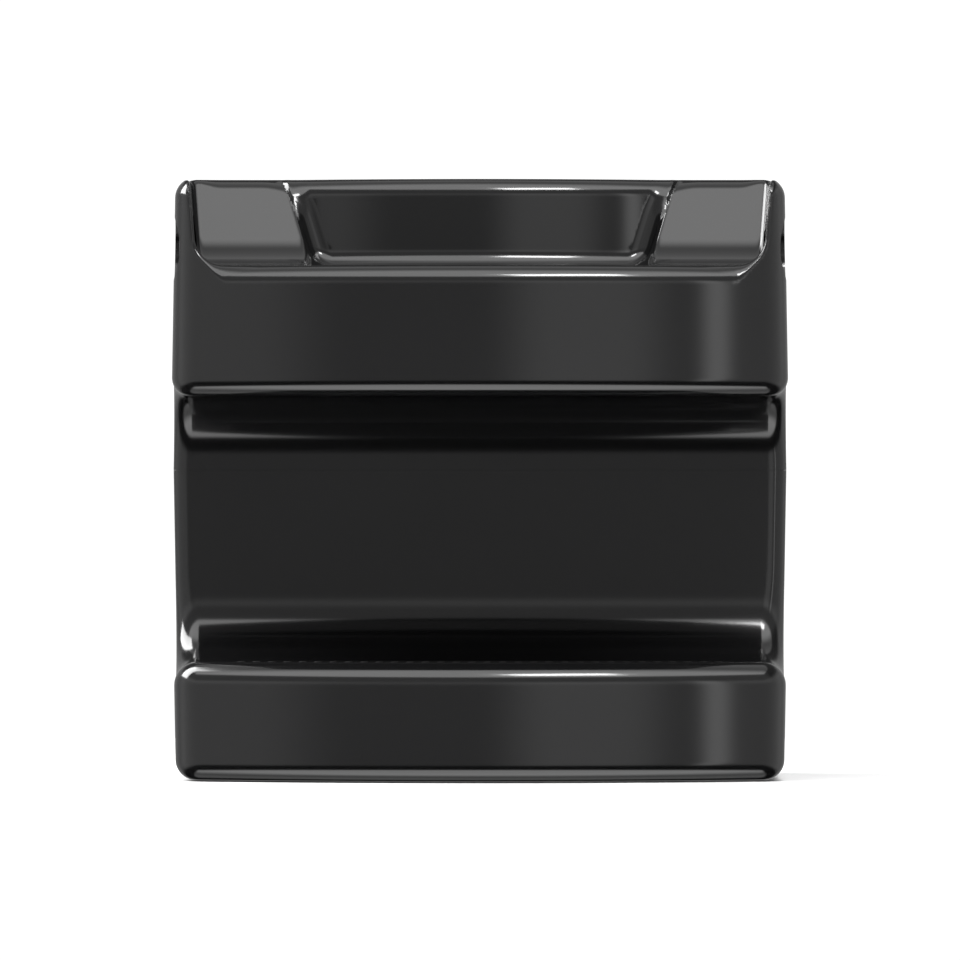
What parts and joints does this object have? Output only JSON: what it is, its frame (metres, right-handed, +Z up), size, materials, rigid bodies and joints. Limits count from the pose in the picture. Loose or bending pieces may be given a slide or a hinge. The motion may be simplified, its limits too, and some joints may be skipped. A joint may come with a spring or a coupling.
{
  "type": "horse mounting block",
  "caption": "Hollow moulded mounting block with a bowed front, a foothold channel right through it, a scooped hand recess in its top, rubber treads and rubber feet.",
  "frame": {"origin": "middle of the footprint, on the plane that the feet rest on", "axes": "+Z up, -Y out of the bowed front that is climbed from, +X to the right of someone who faces that front"},
  "size_m": [0.462, 0.38, 0.45],
  "materials": {
    "shell": "black moulded plastic, smooth gloss",
    "cover": "black moulded plastic, fine matt grain",
    "rib": "grey moulded plastic plate",
    "tread": "black ribbed rubber",
    "gasket": "black soft rubber",
    "feet": "black rubber",
    "steel": "zinc-plated steel",
    "tube": "drawn aluminium tube",
    "brass": "turned brass"
  },
  "bodies": {
    "root": {"upper_shell": "shell", "lower_shell": "shell", "seam_gasket": "gasket", "locating_pins": "steel", "shell_screws": "steel", "shell_inserts": "brass", "left_rib": "rib", "centre_rib": "rib", "right_rib": "rib", "tie_rods": "steel", "spacer_tubes": "tube", "tie_rod_washers": "steel", "tie_rod_nuts": "steel", "top_tread": "tread", "foothold_tread": "tread", "left_finger_ring": "gasket", "right_finger_ring": "gasket", "base_cover": "cover", "base_cover_screws": "steel", "rubber_feet": "feet", "foot_screws": "steel"}
  },
  "joints": []
}
